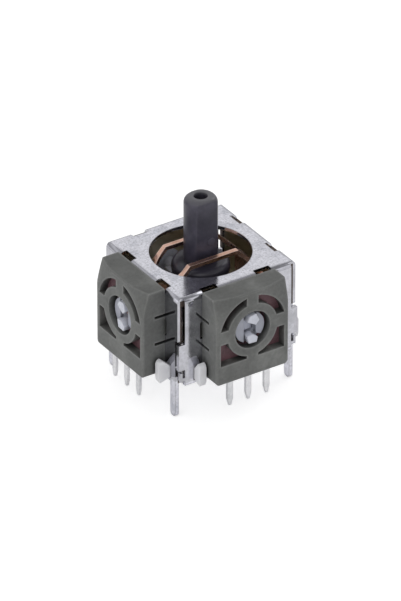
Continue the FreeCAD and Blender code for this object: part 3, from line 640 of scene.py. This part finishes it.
def make_stick():
    bm = bmesh.new()
    top = STICK_TOP - NOSE_DROP
    shaft = [(STICK_R, CROWN_TOP - SHAFT_SINK)]
    shaft += arc((STICK_R - NOSE_ROUND, top - NOSE_ROUND), NOSE_ROUND, 0, 90, 8)
    shaft += [(HOLE_R + HOLE_RIM, top), (HOLE_R, top - HOLE_RIM), (HOLE_R, STICK_TOP - HOLE_DEEP)]
    lathe(bm, shaft, STICK_SIDES, STICK_FLAT)
    low = CROWN_ROUND_FOOT
    high = CROWN_ROUND_TOP
    crown = [(CROWN_R - low, CROWN_FOOT)]
    crown += arc((CROWN_R - low, CROWN_FOOT + low), low, -80, 0, 8)
    crown += arc((CROWN_R - high, CROWN_TOP - high), high, 5, 90, 10)
    crown += [(STICK_R - 0.2, CROWN_TOP)]
    lathe(bm, crown, STICK_SIDES)
    raised_mark(bm, MARK_AT, MARK_R, STICK_FLAT, MARK_HIGH)
    bend_z = STICK_FOOT + FOOT_TAPER
    frustum(bm, [(FOOT_HALF, FOOT_HALF, STICK_FOOT), (STEM_X, STEM_Y, bend_z)])
    bored_block(bm, STEM_X, STEM_Y, bend_z, CROWN_FOOT + STEM_SINK, AXIS_Z, PIN_BORE_R)
    stick = finish_piece(bm, "stick_body", [DARK], STICK_EDGE, 3)
    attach(stick, "stick")
    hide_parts("stick")


make_stick()


# Floor, light and camera

# The floor glows to white for the camera, and less so in the metal's reflections
FLOOR_Z = -4.37 * MM
FLOOR_HALF = 2.5
FLOOR_WHITE = (0.86, 0.86, 0.86, 1.0)
FLOOR_GLOW = 0.55
FLOOR_IN_METAL = 0.5

# Sky grey by height, and by direction from front to back
SKY_BY_HEIGHT = [(0.0, 0.5), (0.6, 0.64), (0.76, 1.0), (1.0, 0.5)]
SKY_FRONT_TO_BACK = [(0.3, 0.62), (0.6, 1.0)]
SKY_STRENGTH = 0.8

# Lamps: name, place and size in millimetres, power in watts
LAMPS = [
    ("key", (-260, -260, 260), (420, 420), 0.42),
    ("fill", (260, -300, 120), (380, 300), 0.2),
    ("back", (330, 60, 240), (200, 160), 0.15),
    ("side", (-380, 80, 120), (300, 240), 0.16),
]
LAMPS_AIM = Vector((0.0, 0.0, 8.0)) * MM


def make_floor():
    mesh = bpy.data.meshes.new("floor")
    r = FLOOR_HALF
    corners = [(-r, -r, FLOOR_Z), (r, -r, FLOOR_Z), (r, r, FLOOR_Z), (-r, r, FLOOR_Z)]
    mesh.from_pydata(corners, [], [(0, 1, 2, 3)])
    floor = bpy.data.objects.new("floor", mesh)
    bpy.context.scene.collection.objects.link(floor)
    mat = bpy.data.materials.new("floor_white")
    mat.use_nodes = True
    tree = mat.node_tree
    tree.nodes.clear()
    out = tree.nodes.new("ShaderNodeOutputMaterial")
    diffuse = tree.nodes.new("ShaderNodeBsdfDiffuse")
    diffuse.inputs["Color"].default_value = FLOOR_WHITE
    glow = tree.nodes.new("ShaderNodeEmission")
    path = tree.nodes.new("ShaderNodeLightPath")
    seen = maths(tree, "MAXIMUM", path.outputs["Is Camera Ray"], path.outputs["Is Transmission Ray"])
    seen = maths(tree, "MAXIMUM", seen, times(tree, path.outputs["Is Glossy Ray"], FLOOR_IN_METAL))
    tree.links.new(times(tree, seen, FLOOR_GLOW), glow.inputs["Strength"])
    add = tree.nodes.new("ShaderNodeAddShader")
    tree.links.new(diffuse.outputs[0], add.inputs[0])
    tree.links.new(glow.outputs[0], add.inputs[1])
    tree.links.new(add.outputs[0], out.inputs["Surface"])
    mesh.materials.append(mat)


def make_world():
    world = bpy.data.worlds.new("studio")
    bpy.context.scene.world = world
    world.use_nodes = True
    tree = world.node_tree
    tree.nodes.clear()
    out = tree.nodes.new("ShaderNodeOutputWorld")
    where = tree.nodes.new("ShaderNodeTexCoord")
    split = tree.nodes.new("ShaderNodeSeparateXYZ")
    tree.links.new(where.outputs["Generated"], split.inputs[0])
    height = maths(tree, "ADD", times(tree, split.outputs["Z"], 0.5), 0.5)
    behind = maths(tree, "ADD", times(tree, split.outputs["Y"], 0.5), 0.5)
    shade = ramp(tree, height, SKY_BY_HEIGHT)
    shade = mix_colour(tree, 1.0, shade, ramp(tree, behind, SKY_FRONT_TO_BACK), "MULTIPLY")
    sky = tree.nodes.new("ShaderNodeBackground")
    tree.links.new(shade, sky.inputs["Color"])
    sky.inputs["Strength"].default_value = SKY_STRENGTH
    white = tree.nodes.new("ShaderNodeBackground")
    path = tree.nodes.new("ShaderNodeLightPath")
    mix = tree.nodes.new("ShaderNodeMixShader")
    tree.links.new(path.outputs["Is Camera Ray"], mix.inputs["Fac"])
    tree.links.new(sky.outputs[0], mix.inputs[1])
    tree.links.new(white.outputs[0], mix.inputs[2])
    tree.links.new(mix.outputs[0], out.inputs["Surface"])


def area_light(name, at, size, power):
    data = bpy.data.lights.new(name, "AREA")
    data.shape = "RECTANGLE"
    data.size = size[0] * MM
    data.size_y = size[1] * MM
    data.energy = power
    light = bpy.data.objects.new(name, data)
    light.location = Vector(at) * MM
    light.rotation_euler = (LAMPS_AIM - light.location).to_track_quat("-Z", "Y").to_euler()
    bpy.context.scene.collection.objects.link(light)


def make_camera():
    data = bpy.data.cameras.new("camera")
    data.sensor_fit = "VERTICAL"
    data.sensor_height = SENSOR_MM
    data.lens = FOCAL_PX / FRAME_PX * SENSOR_MM
    data.clip_start = CLIP_NEAR
    data.clip_end = CLIP_FAR
    camera = bpy.data.objects.new("camera", data)
    towards = Vector((-math.sin(CAMERA_AZIMUTH) * math.cos(CAMERA_ELEVATION),
                      math.cos(CAMERA_AZIMUTH) * math.cos(CAMERA_ELEVATION),
                      -math.sin(CAMERA_ELEVATION)))
    camera.location = CAMERA_AT
    camera.rotation_euler = towards.to_track_quat("-Z", "Y").to_euler()
    bpy.context.scene.collection.objects.link(camera)
    bpy.context.scene.camera = camera


make_floor()
make_world()
for lamp in LAMPS:
    area_light(*lamp)
make_camera()
bpy.context.scene.view_settings.view_transform = "Standard"
